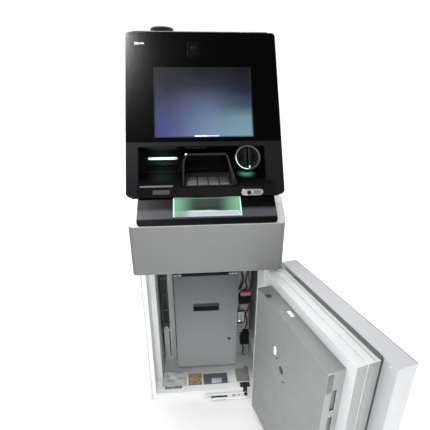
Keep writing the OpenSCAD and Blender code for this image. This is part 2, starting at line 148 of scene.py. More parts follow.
def add_loft(bm, rings, place=WORLD):
    """Skins rings of points, each a list of (x, y, z), and caps both ends."""
    loops = [ring(bm, points, place) for points in rings]
    skin(bm, loops)
    bm.faces.new(loops[0][::-1])
    bm.faces.new(loops[-1])


def circle(radius, height, count=28):
    steps = [2 * math.pi * i / count for i in range(count)]
    return [(radius * math.cos(a), radius * math.sin(a), height) for a in steps]


def add_turned(bm, profile, place=WORLD, count=28):
    """A turned shape about local Z. profile is a list of (radius, height)."""
    add_loft(bm, [circle(max(r, 0.01), h, count) for r, h in profile], place)


def rounded(x, z, radius, steps=5):
    """Outline of a rounded rectangle, as (x, z) points."""
    corners = [(x[1] - radius, z[1] - radius, 0), (x[0] + radius, z[1] - radius, 90),
               (x[0] + radius, z[0] + radius, 180), (x[1] - radius, z[0] + radius, 270)]
    points = []
    for cx, cz, start in corners:
        for i in range(steps + 1):
            a = math.radians(start + 90 * i / steps)
            points.append((cx + radius * math.cos(a), cz + radius * math.sin(a)))
    return points


def add_plate(bm, x, z, front, back, radius, place=WORLD, soft=0.4):
    """A rounded plate in the local XZ plane, with a softened front edge. front is the lower depth."""
    full = rounded(x, z, radius)
    inner = rounded((x[0] + soft, x[1] - soft), (z[0] + soft, z[1] - soft), max(radius - soft, 0.1))
    add_loft(bm, [[(px, back, pz) for px, pz in full],
                  [(px, front + soft, pz) for px, pz in full],
                  [(px, front, pz) for px, pz in inner]], place)


def add_frame(bm, x, z, front, back, radius, width, place=WORLD):
    """A rounded rectangular frame of the given bar width."""
    outer = rounded(x, z, radius)
    inner = rounded((x[0] + width, x[1] - width), (z[0] + width, z[1] - width), max(radius - width, 0.4))
    loops = [ring(bm, [(px, depth, pz) for px, pz in outline], place)
             for outline, depth in ((outer, back), (outer, front), (inner, front), (inner, back))]
    skin(bm, loops + loops[:1])


def add_ring_band(bm, inner, outer, low, high, place, count=72):
    """A flat ring about local Z with softened rims."""
    soft = min(0.5, (outer - inner) / 4)
    section = ((inner, low), (inner, high - soft), (inner + soft, high), (outer - soft, high),
               (outer, high - soft), (outer, low))
    loops = [ring(bm, circle(radius, height, count), place) for radius, height in section]
    skin(bm, loops + loops[:1])


def add_tube(bm, path, radius, sides=10, place=WORLD):
    """A round tube along a list of points."""
    points = [Vector(p) for p in path]
    side = None
    rings = []
    for i, point in enumerate(points):
        ahead = points[min(i + 1, len(points) - 1)] - points[max(i - 1, 0)]
        ahead.normalize()
        if side is None:
            side = ahead.orthogonal().normalized()
        side = (side - ahead * side.dot(ahead)).normalized()
        up = ahead.cross(side)
        steps = [2 * math.pi * k / sides for k in range(sides)]
        rings.append([point + (side * math.cos(a) + up * math.sin(a)) * radius for a in steps])
    add_loft(bm, rings, place)


def curve_through(points, steps=8):
    """Points along a smooth curve through the given ones."""
    p = [Vector(q) for q in points]
    p = [2 * p[0] - p[1]] + p + [2 * p[-1] - p[-2]]
    made = []
    for i in range(1, len(p) - 2):
        for k in range(steps):
            t = k / steps
            made.append(0.5 * (2 * p[i] + (p[i + 1] - p[i - 1]) * t
                               + (2 * p[i - 1] - 5 * p[i] + 4 * p[i + 1] - p[i + 2]) * t * t
                               + (3 * p[i] - p[i - 1] - 3 * p[i + 1] + p[i + 2]) * t ** 3))
    return made + [p[-2]]


def facing(point, towards):
    """Places local Z along a direction at a point."""
    return at(*point) @ Vector(towards).to_track_quat("Z", "Y").to_matrix().to_4x4()


def add_screw(bm, point, towards, radius=3.5, place=WORLD):
    """A pan-head screw with a hexagonal socket."""
    head = radius * 0.5
    spot = place @ facing(point, towards)
    steps = [2 * math.pi * i / 24 for i in range(24)]

    def hexagon(height):
        across = radius * 0.52
        near = [across * math.cos(math.pi / 6) / math.cos((a % (math.pi / 3)) - math.pi / 6) for a in steps]
        return [(r * math.cos(a), r * math.sin(a), height) for r, a in zip(near, steps)]

    profile = ((radius, -0.4), (radius, head * 0.55), (radius * 0.86, head * 0.9), (radius * 0.66, head))
    add_loft(bm, [circle(r, h, 24) for r, h in profile] + [hexagon(head), hexagon(head * 0.3)], spot)


def screws(name, points, towards, look, body, radius=3.5, place=WORLD):
    bm = bmesh.new()
    for point in points:
        add_screw(bm, point, towards, radius, place)
    piece(name, bm, look, body)


# ---- Materials ----
LOOKS = {}


def feed(socket, value):
    """Links an output into an input, or sets the input's value."""
    if isinstance(value, bpy.types.NodeSocket):
        socket.id_data.links.new(value, socket)
    elif socket.type == "RGBA":
        socket.default_value = (*value, 1)
    else:
        socket.default_value = value


class Graph:
    """Short calls for the nodes of a shader tree."""

    def __init__(self, tree):
        self.tree = tree

    def node(self, kind, **values):
        """Adds a node and sets its inputs or its properties. An underscore stands for an input's space."""
        made = self.tree.nodes.new("ShaderNode" + kind)
        for key, value in values.items():
            if key.replace("_", " ") in made.inputs:
                feed(made.inputs[key.replace("_", " ")], value)
            else:
                setattr(made, key, value)
        return made

    def math(self, operation, first, second=0.0):
        made = self.node("Math", operation=operation)
        feed(made.inputs[0], first)
        feed(made.inputs[1], second)
        return made.outputs[0]

    def measure(self, operation, first, second=(0, 0, 0)):
        """A number worked out from one or two vectors."""
        made = self.node("VectorMath", operation=operation)
        feed(made.inputs[0], first)
        feed(made.inputs[1], second)
        return made.outputs["Value"]

    def axes(self, vector):
        return self.node("SeparateXYZ", Vector=vector).outputs

    def range(self, value, low, high, start=0.0, end=1.0, kind="SMOOTHSTEP"):
        return self.node("MapRange", interpolation_type=kind, Value=value, From_Min=low, From_Max=high,
                         To_Min=start, To_Max=end).outputs["Result"]

    def mix(self, factor, first, second):
        made = self.node("Mix", data_type="RGBA")
        for index, value in ((0, factor), (6, first), (7, second)):
            feed(made.inputs[index], value)
        return made.outputs[2]

    def ramp(self, factor, stops, smooth=True):
        """A colour ramp. stops is a list of (position, colour), the lowest and highest positions first."""
        made = self.node("ValToRGB", Fac=factor)
        made.color_ramp.interpolation = "EASE" if smooth else "LINEAR"
        held = made.color_ramp.elements
        for i, (position, colour) in enumerate(stops):
            stop = held[i] if i < 2 else held.new(position)
            stop.position = position
            stop.color = (*colour, 1)
        return made.outputs["Color"]


class Look(Graph):
    """A material. Its coordinates are the object's, in metres, or a tilted frame's own."""

    def __init__(self, name, place=None):
        LOOKS[name] = self
        self.material = bpy.data.materials.new(name)
        self.material.use_nodes = True
        super().__init__(self.material.node_tree)
        self.shader = self.tree.nodes["Principled BSDF"]
        self.coords = self.node("TexCoord").outputs["Object"]
        if place is not None:
            mapped = self.node("Mapping", vector_type="TEXTURE", Vector=self.coords,
                               Location=place.to_translation() * MM, Rotation=place.to_euler())
            self.coords = mapped.outputs["Vector"]

    def set(self, **values):
        for key, value in values.items():
            feed(self.shader.inputs[key.replace("_", " ")], value)

    def noise(self, scale, detail=3.0, stretch=None):
        coords = self.coords
        if stretch:
            coords = self.node("Mapping", Scale=stretch, Vector=coords).outputs["Vector"]
        return self.node("TexNoise", Scale=scale, Detail=detail, Vector=coords).outputs["Fac"]

    def uneven(self, scale, start, end):
        """Noise that wanders between two values."""
        return self.range(self.noise(scale), 0.3, 0.7, start, end)

    def wave(self, scale, reach):
        """Coarse noise round zero."""
        return self.math("MULTIPLY", self.math("SUBTRACT", self.noise(scale, 1.0), 0.5), reach)


def surface(name, colour, rough, metal=0.0, second=None, cloud=6.0, cloud_amount=0.5, grain=900.0,
            grain_depth=0.08, edge=None, edge_radius=0.0012, rough_spread=0.08, brushed=None, coat=0.0,
            coat_rough=0.08, shine=0.5, painted_light_ramp=None):
    """A solid material: clouded colour, edges in another tone (partly wear, partly painted highlight, and
    painted shade where the tone is darker), fine grain in the bump and uneven gloss.

    fade is (axis, low, high, colour) and turns the paint to that colour from low to high metres: painted
    light where that colour is lighter, painted shade where it is darker.
    """
    look = Look(name)
    other = second or tuple(channel * 0.88 for channel in colour)
    tone = look.mix(look.range(look.noise(cloud, 4.0), 0.35, 0.65, 0.0, cloud_amount), colour, other)
    if painted_light_ramp:
        axis, low, high, far = painted_light_ramp
        tone = look.mix(look.range(look.axes(look.coords)[axis], low, high, kind="LINEAR"), tone, far)
    rounded_normal = look.node("Bevel", samples=4, Radius=edge_radius).outputs["Normal"]
    flat_normal = look.node("NewGeometry").outputs["Normal"]
    near_edge = look.range(look.measure("DOT_PRODUCT", rounded_normal, flat_normal), 0.8, 0.995, 1.0, 0.0)
    # Edge tone: partly wear, partly a painted highlight on the edges, and painted shade where it is darker
    # than the paint.
    edge_wear_and_light = edge or tuple(min(channel * 1.25 + 0.01, 0.95) for channel in colour)
    patchy = look.math("MULTIPLY", near_edge, look.uneven(60.0, 0.25, 0.8))
    bump = look.node("Bump", Strength=grain_depth, Distance=0.0004, Height=look.noise(grain, 2.0, brushed),
                     Normal=rounded_normal)
    look.set(Base_Color=look.mix(patchy, tone, edge_wear_and_light), Normal=bump.outputs["Normal"], Metallic=metal,
             Roughness=look.uneven(22.0, rough - rough_spread / 2, rough + rough_spread / 2),
             Coat_Weight=coat, Coat_Roughness=coat_rough, Specular_IOR_Level=shine)


def glow(name, colour, strength, body_colour=(0.5, 0.6, 0.55)):
    """A lit plastic, faintly uneven."""
    look = Look(name)
    uneven = look.uneven(90.0, 0.85, 1.0)
    look.set(Emission_Color=look.mix(uneven, tuple(channel * 0.8 for channel in colour), colour),
             Emission_Strength=look.math("MULTIPLY", uneven, strength),
             Base_Color=body_colour, Roughness=0.35)


MINT = (0.42, 0.95, 0.62)
SHELF_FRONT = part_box("console_shelf")[0].y
surface("safe", (0.9, 0.91, 0.91), 0.38, second=(0.85, 0.86, 0.86), edge=(0.92, 0.93, 0.93))
surface("cabinet", (0.42, 0.425, 0.42), 0.42, second=(0.385, 0.39, 0.385), edge=(0.6, 0.61, 0.61), grain=1300)
# The apron's paint turns lighter on its top, from 0.742 m up: painted light.
surface("apron", (0.098, 0.1, 0.1), 0.42, second=(0.091, 0.093, 0.093), edge=(0.45, 0.46, 0.46), grain=1300,
        painted_light_ramp=(2, 0.742, 0.747, (0.34, 0.345, 0.34)))
surface("door", (0.148, 0.153, 0.153), 0.42, second=(0.134, 0.139, 0.139), edge=(0.45, 0.46, 0.46))
surface("plate", (0.44, 0.45, 0.455), 0.4, edge=(0.8, 0.81, 0.81))
surface("pan", (0.33, 0.34, 0.345), 0.4, edge=(0.48, 0.49, 0.49))
# The rack's paint darkens towards its top: painted shade under the apron.
surface("rack", (0.225, 0.245, 0.245), 0.42, second=(0.215, 0.235, 0.235), edge=(0.4, 0.43, 0.43),
        painted_light_ramp=(2, 0.03, 0.48, (0.04, 0.045, 0.046)))
surface("inner_metal", (0.29, 0.305, 0.305), 0.42, edge=(0.6, 0.62, 0.62))
surface("bolt", (0.15, 0.153, 0.157), 0.36, metal=0.9, edge=(0.5, 0.5, 0.51))
surface("charcoal", (0.007, 0.0075, 0.0085), 0.46, second=(0.01, 0.0105, 0.012), edge=(0.035, 0.037, 0.04),
        grain=1600, grain_depth=0.12, shine=0.08)
surface("bezel", (0.0042, 0.0046, 0.0056), 0.48, second=(0.0062, 0.0066, 0.0078), edge=(0.035, 0.037, 0.042),
        grain=1800, grain_depth=0.14, shine=0.07)
# The deck's front face is painted darker than the rest of the tub: painted shade.
surface("tub", (0.001, 0.001, 0.0012), 0.34, second=(0.0015, 0.0015, 0.0017), edge=(0.02, 0.022, 0.025),
        grain=1800, grain_depth=0.1, shine=0.03, painted_light_ramp=(1, -0.2665, -0.263, (0.0025, 0.0026, 0.003)))
# The shelf's lip stays black and the slope behind it is painted lighter: painted light; paint_shade_inside
# below paints the back black as painted shadow.
surface("shelf", (0.003, 0.0032, 0.0036), 0.34, second=(0.0024, 0.0026, 0.003), edge=(0.09, 0.1, 0.105),
        grain=1600, grain_depth=0.06, shine=0.04,
        painted_light_ramp=(1, SHELF_FRONT + 0.011, SHELF_FRONT + 0.014, (0.046, 0.052, 0.057)))
surface("black", (0.006, 0.006, 0.007), 0.48, second=(0.009, 0.009, 0.01), edge=(0.018, 0.019, 0.02),
        grain=1500, grain_depth=0.14, shine=0.1)
surface("glass", (0.001, 0.001, 0.0012), 0.1, second=(0.0014, 0.0014, 0.0016), edge=(0.02, 0.021, 0.023),
        grain=300, grain_depth=0.004, rough_spread=0.05, coat=0.22, coat_rough=0.18, shine=0.05)
surface("steel", (0.55, 0.56, 0.57), 0.3, metal=1.0, second=(0.45, 0.46, 0.47), edge=(0.8, 0.8, 0.8),
        grain=500, brushed=(1, 1, 14))
surface("dark_steel", (0.045, 0.045, 0.048), 0.36, metal=0.7, edge=(0.25, 0.25, 0.26))
surface("strike", (0.13, 0.135, 0.14), 0.36, metal=0.4, edge=(0.45, 0.46, 0.46))
# The keys' dark edges are painted shade in the gaps between them.
surface("key", (0.19, 0.193, 0.198), 0.3, metal=0.85, second=(0.15, 0.152, 0.158), edge=(0.03, 0.031, 0.032),
        grain=1200, edge_radius=0.0014, brushed=(12, 1, 1))
surface("pad", (0.03, 0.031, 0.034), 0.42, metal=0.6, edge=(0.14, 0.14, 0.15), shine=0.3)
surface("chrome", (0.85, 0.86, 0.87), 0.12, metal=1.0, edge=(0.95, 0.95, 0.95))
surface("brass", (0.62, 0.45, 0.18), 0.32, metal=1.0, edge=(0.8, 0.65, 0.35))
surface("module", (0.045, 0.05, 0.055), 0.5, edge=(0.1, 0.105, 0.11))
surface("duct", (0.05, 0.051, 0.051), 0.5, edge=(0.1, 0.1, 0.1), shine=0.3)
surface("rubber", (0.03, 0.032, 0.034), 0.75, second=(0.024, 0.026, 0.028), grain=700, grain_depth=0.25,
        rough_spread=0.12, shine=0.2)
surface("white", (0.86, 0.86, 0.85), 0.3, edge=(0.93, 0.93, 0.93))
surface("white_box", (0.3, 0.31, 0.31), 0.5)
surface("window", (0.0014, 0.0014, 0.0018), 0.25, edge=(0.006, 0.006, 0.007), shine=0.05)
surface("silver_plastic", (0.13, 0.13, 0.135), 0.34, metal=0.4, second=(0.08, 0.08, 0.085),
        edge=(0.5, 0.5, 0.51), cloud=120.0, cloud_amount=0.8)
surface("grey_strip", (0.1, 0.103, 0.107), 0.4, edge=(0.17, 0.17, 0.175), shine=0.3)
surface("slot_mouth", (0.032, 0.033, 0.034), 0.5, edge=(0.06, 0.06, 0.06), shine=0.2)
surface("seam", (0.16, 0.163, 0.165), 0.6, shine=0.2)
surface("gasket_lip", (0.075, 0.077, 0.08), 0.7, second=(0.06, 0.062, 0.065), shine=0.2)
surface("red", (0.42, 0.15, 0.16), 0.4, second=(0.3, 0.08, 0.09), edge=(0.7, 0.4, 0.4))
surface("loom", (0.016, 0.016, 0.017), 0.5, grain=400, grain_depth=0.2, shine=0.3)
surface("loom_grey", (0.22, 0.225, 0.23), 0.5, grain=400, grain_depth=0.2)
surface("loom_red", (0.3, 0.05, 0.05), 0.5, grain=400, grain_depth=0.2)
surface("pouch", (0.62, 0.65, 0.62), 0.22, second=(0.46, 0.5, 0.47), cloud=60.0, cloud_amount=0.9, grain=90,
        grain_depth=0.5)
surface("blue_box", (0.085, 0.09, 0.115), 0.5, second=(0.07, 0.075, 0.095))
surface("label", (0.5, 0.51, 0.54), 0.55, second=(0.42, 0.43, 0.46), cloud=200.0)
glow("mint_light", (0.5, 1.0, 0.74), 1.6)
glow("tray_light", MINT, 0.65)
glow("tray_dim", MINT, 0.12, (0.06, 0.08, 0.07))
glow("white_light", (0.9, 0.93, 1.0), 0.95, (0.8, 0.8, 0.8))
glow("dim_light", (0.65, 0.72, 0.9), 0.55, (0.6, 0.6, 0.6))
# pale_mark glows, and on the dial's printed ticks that glow is painted light.
glow("pale_mark", (0.8, 0.84, 0.86), 0.65, (0.8, 0.8, 0.8))


def screen_look():
    """The lit display: dark across the top, violet at the lower left and teal at the lower right."""
    look = Look("screen", FASCIA)
    bottom, height, width = 0.1865, 0.235, 0.313
    x, _, z = look.axes(look.coords)
    across = look.math("ADD", look.math("DIVIDE", x, width), 0.5)
    up = look.math("ADD", look.math("DIVIDE", look.math("SUBTRACT", z, bottom), height), look.wave(9.0, 0.22))
    left = look.ramp(up, [
        (0.0, (0.073, 0.078, 0.26)), (1.0, (0.02, 0.021, 0.023)), (0.3, (0.064, 0.072, 0.18)),
        (0.5, (0.052, 0.055, 0.098)), (0.72, (0.032, 0.031, 0.045))], False)
    middle = look.ramp(up, [
        (0.0, (0.2, 0.27, 0.43)), (1.0, (0.012, 0.012, 0.014)), (0.28, (0.14, 0.22, 0.34)),
        (0.5, (0.1, 0.128, 0.22)), (0.74, (0.034, 0.034, 0.06))], False)
    right = look.ramp(up, [
        (0.0, (0.2, 0.34, 0.42)), (1.0, (0.005, 0.005, 0.006)), (0.28, (0.15, 0.29, 0.31)),
        (0.48, (0.05, 0.082, 0.13)), (0.66, (0.015, 0.018, 0.034))], False)
    tone = look.mix(look.range(across, 0.05, 0.62), left, middle)
    tone = look.mix(look.range(across, 0.45, 0.95), tone, right)
    edges = look.math("MAXIMUM", look.range(across, 0.0, 0.035, 1.0, 0.0), look.range(across, 0.975, 1.0))
    look.set(Emission_Color=look.mix(look.math("MULTIPLY", edges, 0.45), tone, (0.02, 0.02, 0.03)),
             Emission_Strength=1.0, Base_Color=(0.004, 0.004, 0.005), Specular_IOR_Level=0.1,
             Roughness=look.uneven(30.0, 0.16, 0.22))


def tray_look():
    """Pale plastic with painted light: green glow near both ends, dim in the middle of its back,
    lavender-white glow on its floor, and darker at the floor's left.
    """
    look = Look("tray")
    x, _, height = look.axes(look.coords)
    lit_floor = look.range(look.math("ADD", height, look.wave(14.0, 0.01)), 0.763, 0.7665, 1.0, 0.0)
    lit_floor = look.math("MULTIPLY", lit_floor, look.range(x, -0.085, -0.045, 0.25, 1.0))
    ends = look.range(look.math("ABSOLUTE", x), 0.03, 0.104)
    painted_end_glow = look.mix(ends, (0.022, 0.036, 0.028), (0.2, 0.5, 0.29))
    look.set(Emission_Color=look.mix(lit_floor, painted_end_glow, (0.16, 0.2, 0.22)), Emission_Strength=1.0,
             Base_Color=look.mix(lit_floor, (0.012, 0.018, 0.015), (0.5, 0.51, 0.58)),
             Roughness=look.uneven(40.0, 0.34, 0.46), Specular_IOR_Level=0.05)


def ring_look():
    """The card reader's light ring: bright from nine to six o'clock, dim over the rest."""
    look = Look("ring", FASCIA @ at(READER_X, 0, READER_U))
    x, _, z = look.axes(look.coords)
    turned = look.range(look.math("ARCTAN2", z, x), -math.pi, math.pi, kind="LINEAR")
    levels = [(0.0, 1), (1.0, 0.8), (0.235, 0.9), (0.29, 0.0), (0.44, 0.03), (0.52, 0.16),
              (0.8, 0.05), (0.93, 0.2)]
    bright = look.ramp(turned, [(position, (level,) * 3) for position, level in levels])
    look.set(Emission_Color=look.mix(bright, (0.3, 0.34, 0.33), (0.6, 1.0, 0.82)),
             Emission_Strength=look.math("MULTIPLY", bright, 1.8),
             Base_Color=(0.05, 0.055, 0.053), Roughness=0.3)


def board_look():
    """Brown circuit board with dark component marks."""
    look = Look("board")
    bricks = look.node("TexBrick", Scale=28.0, Color1=(0.07, 0.045, 0.025), Color2=(0.3, 0.2, 0.1),
                       Mortar=(0.4, 0.28, 0.15), Mortar_Size=0.045, Vector=look.coords)
    clouds = look.range(look.noise(140.0), 0.45, 0.55)
    look.set(Base_Color=look.mix(clouds, (0.4, 0.28, 0.15), bricks.outputs["Color"]), Roughness=0.6)


def mesh_look():
    """Grey perforated sheet."""
    look = Look("mesh")
    cells = look.node("TexVoronoi", Scale=260.0, Randomness=0.15, Vector=look.coords)
    holes = look.range(cells.outputs["Distance"], 0.18, 0.34)
    look.set(Base_Color=look.mix(holes, (0.05, 0.05, 0.052), (0.24, 0.235, 0.23)), Roughness=0.55)


def bar_look():
    """The receipt slot's light bar: nearly white in its middle and green at both ends."""
    look = Look("bar", FASCIA @ at(-137, 0, 136))
    away = look.math("ABSOLUTE", look.axes(look.coords)[0])
    taper = look.range(away, 0.034, 0.05, 1.0, 0.25)
    look.set(Emission_Color=look.mix(look.range(away, 0.014, 0.046), (0.8, 1.0, 0.9), (0.26, 0.78, 0.48)),
             Emission_Strength=look.math("MULTIPLY", look.uneven(120.0, 1.0, 1.15), taper),
             Base_Color=(0.5, 0.6, 0.55), Roughness=0.35)


def paint_light_pools(name, spots):
    """Paints pools of light on a surface round given points, as glow. spots is a list of (point, reach,
    colour), in mm.
    """
    look = LOOKS[name]
    total = (0, 0, 0)
    for point, reach, colour in spots:
        near = look.range(look.measure("DISTANCE", look.coords, point * MM), 0.0, reach * MM, 1.0, 0.0)
        total = look.mix(look.math("POWER", near, 2.0), total, colour)
    look.set(Emission_Color=total, Emission_Strength=1.0)


def paint_shade_inside(name, reach, start, end, colour):
    """Painted shade near the middle: the given colour, partly on side faces, and rising to full from start to
    end depth.
    """
    look = LOOKS[name]
    base = look.shader.inputs["Base Color"]
    x, y, _ = look.axes(look.coords)
    side_face = look.axes(look.node("TexCoord").outputs["Normal"])[0]
    sideways = look.math("MULTIPLY", look.math("ABSOLUTE", side_face), 0.35)
    deep = look.range(y, start, end, kind="LINEAR")
    within = look.math("LESS_THAN", look.math("ABSOLUTE", x), reach)
    amount = look.math("MULTIPLY", within, look.math("MAXIMUM", sideways, deep))
    feed(base, look.mix(amount, base.links[0].from_socket, colour))


def paint_light_on_faces(name, direction, share, start=0.85):
    """Paints light and shade: scales the paint on the faces that look along a direction."""
    look = LOOKS[name]
    base = look.shader.inputs["Base Color"]
    normal = look.node("TexCoord").outputs["Normal"]
    along = look.range(look.measure("DOT_PRODUCT", normal, direction), start, 0.97, 1.0, share)
    scaled = look.node("VectorMath", operation="SCALE", Scale=along)
    feed(scaled.inputs[0], base.links[0].from_socket)
    feed(base, scaled.outputs["Vector"])


FREE_END = DOOR.to_3x3() @ Vector((-1, 0, 0))  # direction of the door's free edge
# Painted light on the console tub from the receipt light bar and from the card reader's lamp.
paint_light_pools("tub", [(FASCIA @ Vector((-137, TUB_BACK, 126)), 70, (0.008, 0.022, 0.014)),
                  (FASCIA @ Vector((-137, 22, 78)), 75, (0.008, 0.018, 0.013)),
                  (FASCIA @ Vector((READER_X, 34, 84)), 44, (0.09, 0.42, 0.24))])
# Painted light on the door cover's free-end faces; painted shade on the plate's free-end faces, on the safe's
# front faces and on the apron's left-facing faces.
paint_light_on_faces("door", FREE_END, 1.3)
paint_light_on_faces("plate", FREE_END, 0.45)
paint_light_on_faces("safe", (0, -1, 0), 0.72)
paint_light_on_faces("apron", (-1, 0, 0), 0.5, 0.1)
# Painted shadow of the console on the back of the shelf, and painted shade inside the safe, deeper in and on
# its side faces.
paint_shade_inside("shelf", 0.3, SHELF_FRONT + 0.03, SHELF_FRONT + 0.04, (0.0015, 0.0015, 0.0018))
paint_shade_inside("safe", 0.2035, -0.23, -0.175, (0.4, 0.415, 0.41))
for make in (screen_look, tray_look, ring_look, board_look, mesh_look, bar_look):
    make()

NODE_LOOKS = {
    "safe": ["safe_body"],
    "cabinet": ["upper_cabinet"],
    "apron": ["apron_cover"],
    "charcoal": ["keypad_shield"],
    "shelf": ["console_shelf"],
    "tray": ["cash_tray", "cash_shutter"],
    "black": ["antenna_puck", "fascia_frame", "outlet_box", "cable_gland", "dial"],
    "slot_mouth": ["rack_handle"],
    "duct": ["cable_duct"],
    "strike": ["strike_plate"],
    "tub": ["console_tub"],
    "steel": ["hinge_fixed", "hinge_door", "fascia_brackets", "slide_rails"],
    "bolt": ["bolt_bar"],
    "dark_steel": ["stay_bracket", "lever_handle"],
    "inner_metal": ["side_channels", "control_unit", "power_supply"],
    "module": ["note_transport", "cassette", "pick_unit", "receipt_printer", "card_reader"],
    "door": ["boltwork_cover"],
    "plate": ["safe_door"],
    "pan": ["door_pan"],
    "rubber": ["door_gasket"],
    "brass": ["lock_case"],
    "white": ["stay_arm"],
    "rack": ["rack_frame", "rack_cover"],
    "glass": ["screen_glass"],
    "screen": ["display_panel"],
    "bezel": ["lower_bezel", "card_bezel"],
    "pad": ["keypad_base"],
    "key": [name for name in NODES if name.startswith("key_") and name[4:].isdigit()],
}
for look_name, members in NODE_LOOKS.items():
    for member in members:
        NODES[member].data.materials.clear()
        NODES[member].data.materials.append(LOOKS[look_name].material)


# ---- Fascia: display, lights and trim ----
def build_display():
    one("camera_window", "window", "fascia", "black_glass",
        add_plate, (-47, -9), (450, 506), -0.3, 0.2, 4, FASCIA)
    one("camera_lens", "window", "fascia", "black_glass",
        add_turned, [(7, 0), (7, 0.6), (6, 1.0), (5, 1.0), (4.2, 0.6), (2.5, 0.9), (0.5, 1.1)],
        FASCIA @ at(-28, -0.3, 488) @ turn(90, "X"))
    bm = bmesh.new()
    add_plate(bm, (-216, -203), (500, 506.5), -0.25, 0.1, 3, FASCIA, 0.1)
    add_plate(bm, (-200, -186), (501.5, 505), -0.25, 0.1, 1.6, FASCIA, 0.1)
    piece("fascia_mark", bm, "pale_mark", "fascia")
    for side, x, look in (("left", (-31, 8), "white_light"), ("right", (8, 47), "dim_light")):
        one("status_bar_" + side, look, "fascia", "lit_screen",
            add_plate, x, (188, 191), 0.25, 0.7, 0.8, FASCIA, 0.1)
    one("display_mask", "black", "fascia", "black_glass",
        add_frame, (-155.4, 155.4), (187.6, 420.4), 0.25, 0.8, 2, 1.6, FASCIA)


def build_receipt():
    one("receipt_light_frame", "black", "fascia", "black_plastic",
        add_frame, (-190, -84), (127.5, 144.5), TUB_BACK - 1.2, TUB_BACK + 0.8, 7, 3.6, FASCIA)
    one("receipt_light", "bar", "fascia", None,
        add_plate, (-185, -89), (132, 140), TUB_BACK - 2.0, TUB_BACK + 1, 3.8, FASCIA, 1.2)
    bm = bmesh.new()
    add_frame(bm, (-188, -86), (98, 112), TUB_BACK - 3.0, TUB_BACK + 0.5, 3, 3.5, FASCIA)
    for i in range(5):
        u = 101.5 + i * 1.6
        add_block(bm, (-184, -90), (TUB_BACK - 0.8, TUB_BACK + 0.4), (u, u + 0.7), 0, FASCIA)
    piece("receipt_mouth", bm, "window", "fascia")
    slope = at(0, -257, deck(-257)) @ turn(math.degrees(math.atan(DECK_RISE)), "X")
    one("receipt_lip", "grey_strip", "fascia", "bezel_plastic",
        add_block, (-199, -101), (-5, 5), (-0.5, 1.6), 0.8, slope)
    bm = bmesh.new()
    add_plate(bm, (-161, -110), (822, 835), DECK_FRONT - 0.8, DECK_FRONT + 0.3, 2.5)
    for i in range(6):
        x = -157 + i * 7.4
        add_block(bm, (x, x + 5), (DECK_FRONT - 1.3, DECK_FRONT), (826, 831), 0.4)
    piece("deck_grip_strip", bm, "slot_mouth", "fascia")


def build_audio_pill():
    one("audio_plate", "silver_plastic", "fascia", "plated_steel",
        add_plate, (103.6, 171.4), (812.5, 833.5), DECK_FRONT - 2.2, DECK_FRONT + 0.3, 10.4, soft=1.2)
    one("audio_socket", "black", "fascia", "black_plastic",
        add_turned, [(6.6, 0), (6.6, 1.2), (5.6, 1.9), (3.2, 1.9), (2.6, 1.4), (2.4, 0.2)],
        at(128, DECK_FRONT - 2.0, 822) @ turn(90, "X"))
    bm = bmesh.new()
    for i in range(3):
        x = 143 + i * 7.5
        add_block(bm, (x, x + 4.2), (DECK_FRONT - 3.0, DECK_FRONT - 1.8), (817.5, 828.5), 0.9)
    piece("audio_keys", bm, "dark_steel", "fascia")


def build_card_reader():
    place = FASCIA @ at(READER_X, -2, READER_U) @ turn(90, "X")
    one("card_ring_light", "ring", "fascia", None, add_ring_band, 35.9, 38.0, -0.5, 1.0, place)
    one("card_ring_trim", "charcoal", "fascia", "black_plastic", add_ring_band, 38.4, 41.6, -1.5, 0.9, place)
    bm = bmesh.new()
    for side in (-1, 1):
        x = sorted((READER_X + side * 2.9, READER_X + side * 9))
        add_block(bm, x, (0.5, 6), (READER_U - 31, READER_U + 31), 2.2, FASCIA)
    piece("card_guide", bm, "black", "fascia")
    one("card_guide_light", "mint_light", "fascia", None,
        add_block, (READER_X + 3.4, READER_X + 7), (-0.2, 2), (READER_U - 33, READER_U - 26), 0.8, FASCIA)
    bm = bmesh.new()
    for side in (-1, 1):
        x = sorted((READER_X + side * 13, READER_X + side * 26))
        add_plate(bm, x, (READER_U - 12, READER_U + 16), 3.6, 5.2, 3, FASCIA, 0.7)
    piece("card_side_pads", bm, "tub", "fascia")


def build_hood():
    """The keypad hood's rolled rim, its ribbed back wall, and the bright stud at its corner."""
    left = [(-69.5, -262.5, 847), (-69.5, -257, 862), (-69.5, -228, 892), (-69, -218, 901)]
    over = [(-65, -203, 917), (-56, -196, 924.6), (-40, -195, 925), (48, -195, 925), (62, -196, 924.6)]
    right = [(69, -202, 918), (74.5, -222, 897), (85, -255.5, 863), (89, -262.5, 847)]
    one("hood_rim", "charcoal", "fascia", "charcoal_metal",
        add_tube, curve_through(left + over + right, 5), 2.3, 10)
    bm = bmesh.new()
    for i in range(6):
        u = 100 + i * 7.5
        add_block(bm, (-60, 66), (TUB_BACK - 1.6, TUB_BACK + 0.3), (u, u + 2.2), 0.5, FASCIA)
    piece("hood_back_ribs", bm, "bezel", "fascia")
    one("hood_stud", "chrome", "fascia", "plated_steel",
        add_turned, [(3.6, 0), (3.6, 2.6), (3.0, 4.6), (1.6, 5.6), (0.3, 5.9)],
        facing((-60, -193, 924), (0, -0.8, 0.6)), 20)
    one("keypad_front_bar", "charcoal", "fascia", "charcoal_metal",
        add_block, (-70, 76), (-2.2, 0), (-2, 4.0), 0.9, KEYPAD)
    one("tub_top_ledge", "charcoal", "fascia", "charcoal_metal",
        add_block, (-62, 4), (3, 11), (TUB_TOP - 3.4, TUB_TOP - 0.2), 0.8, FASCIA)


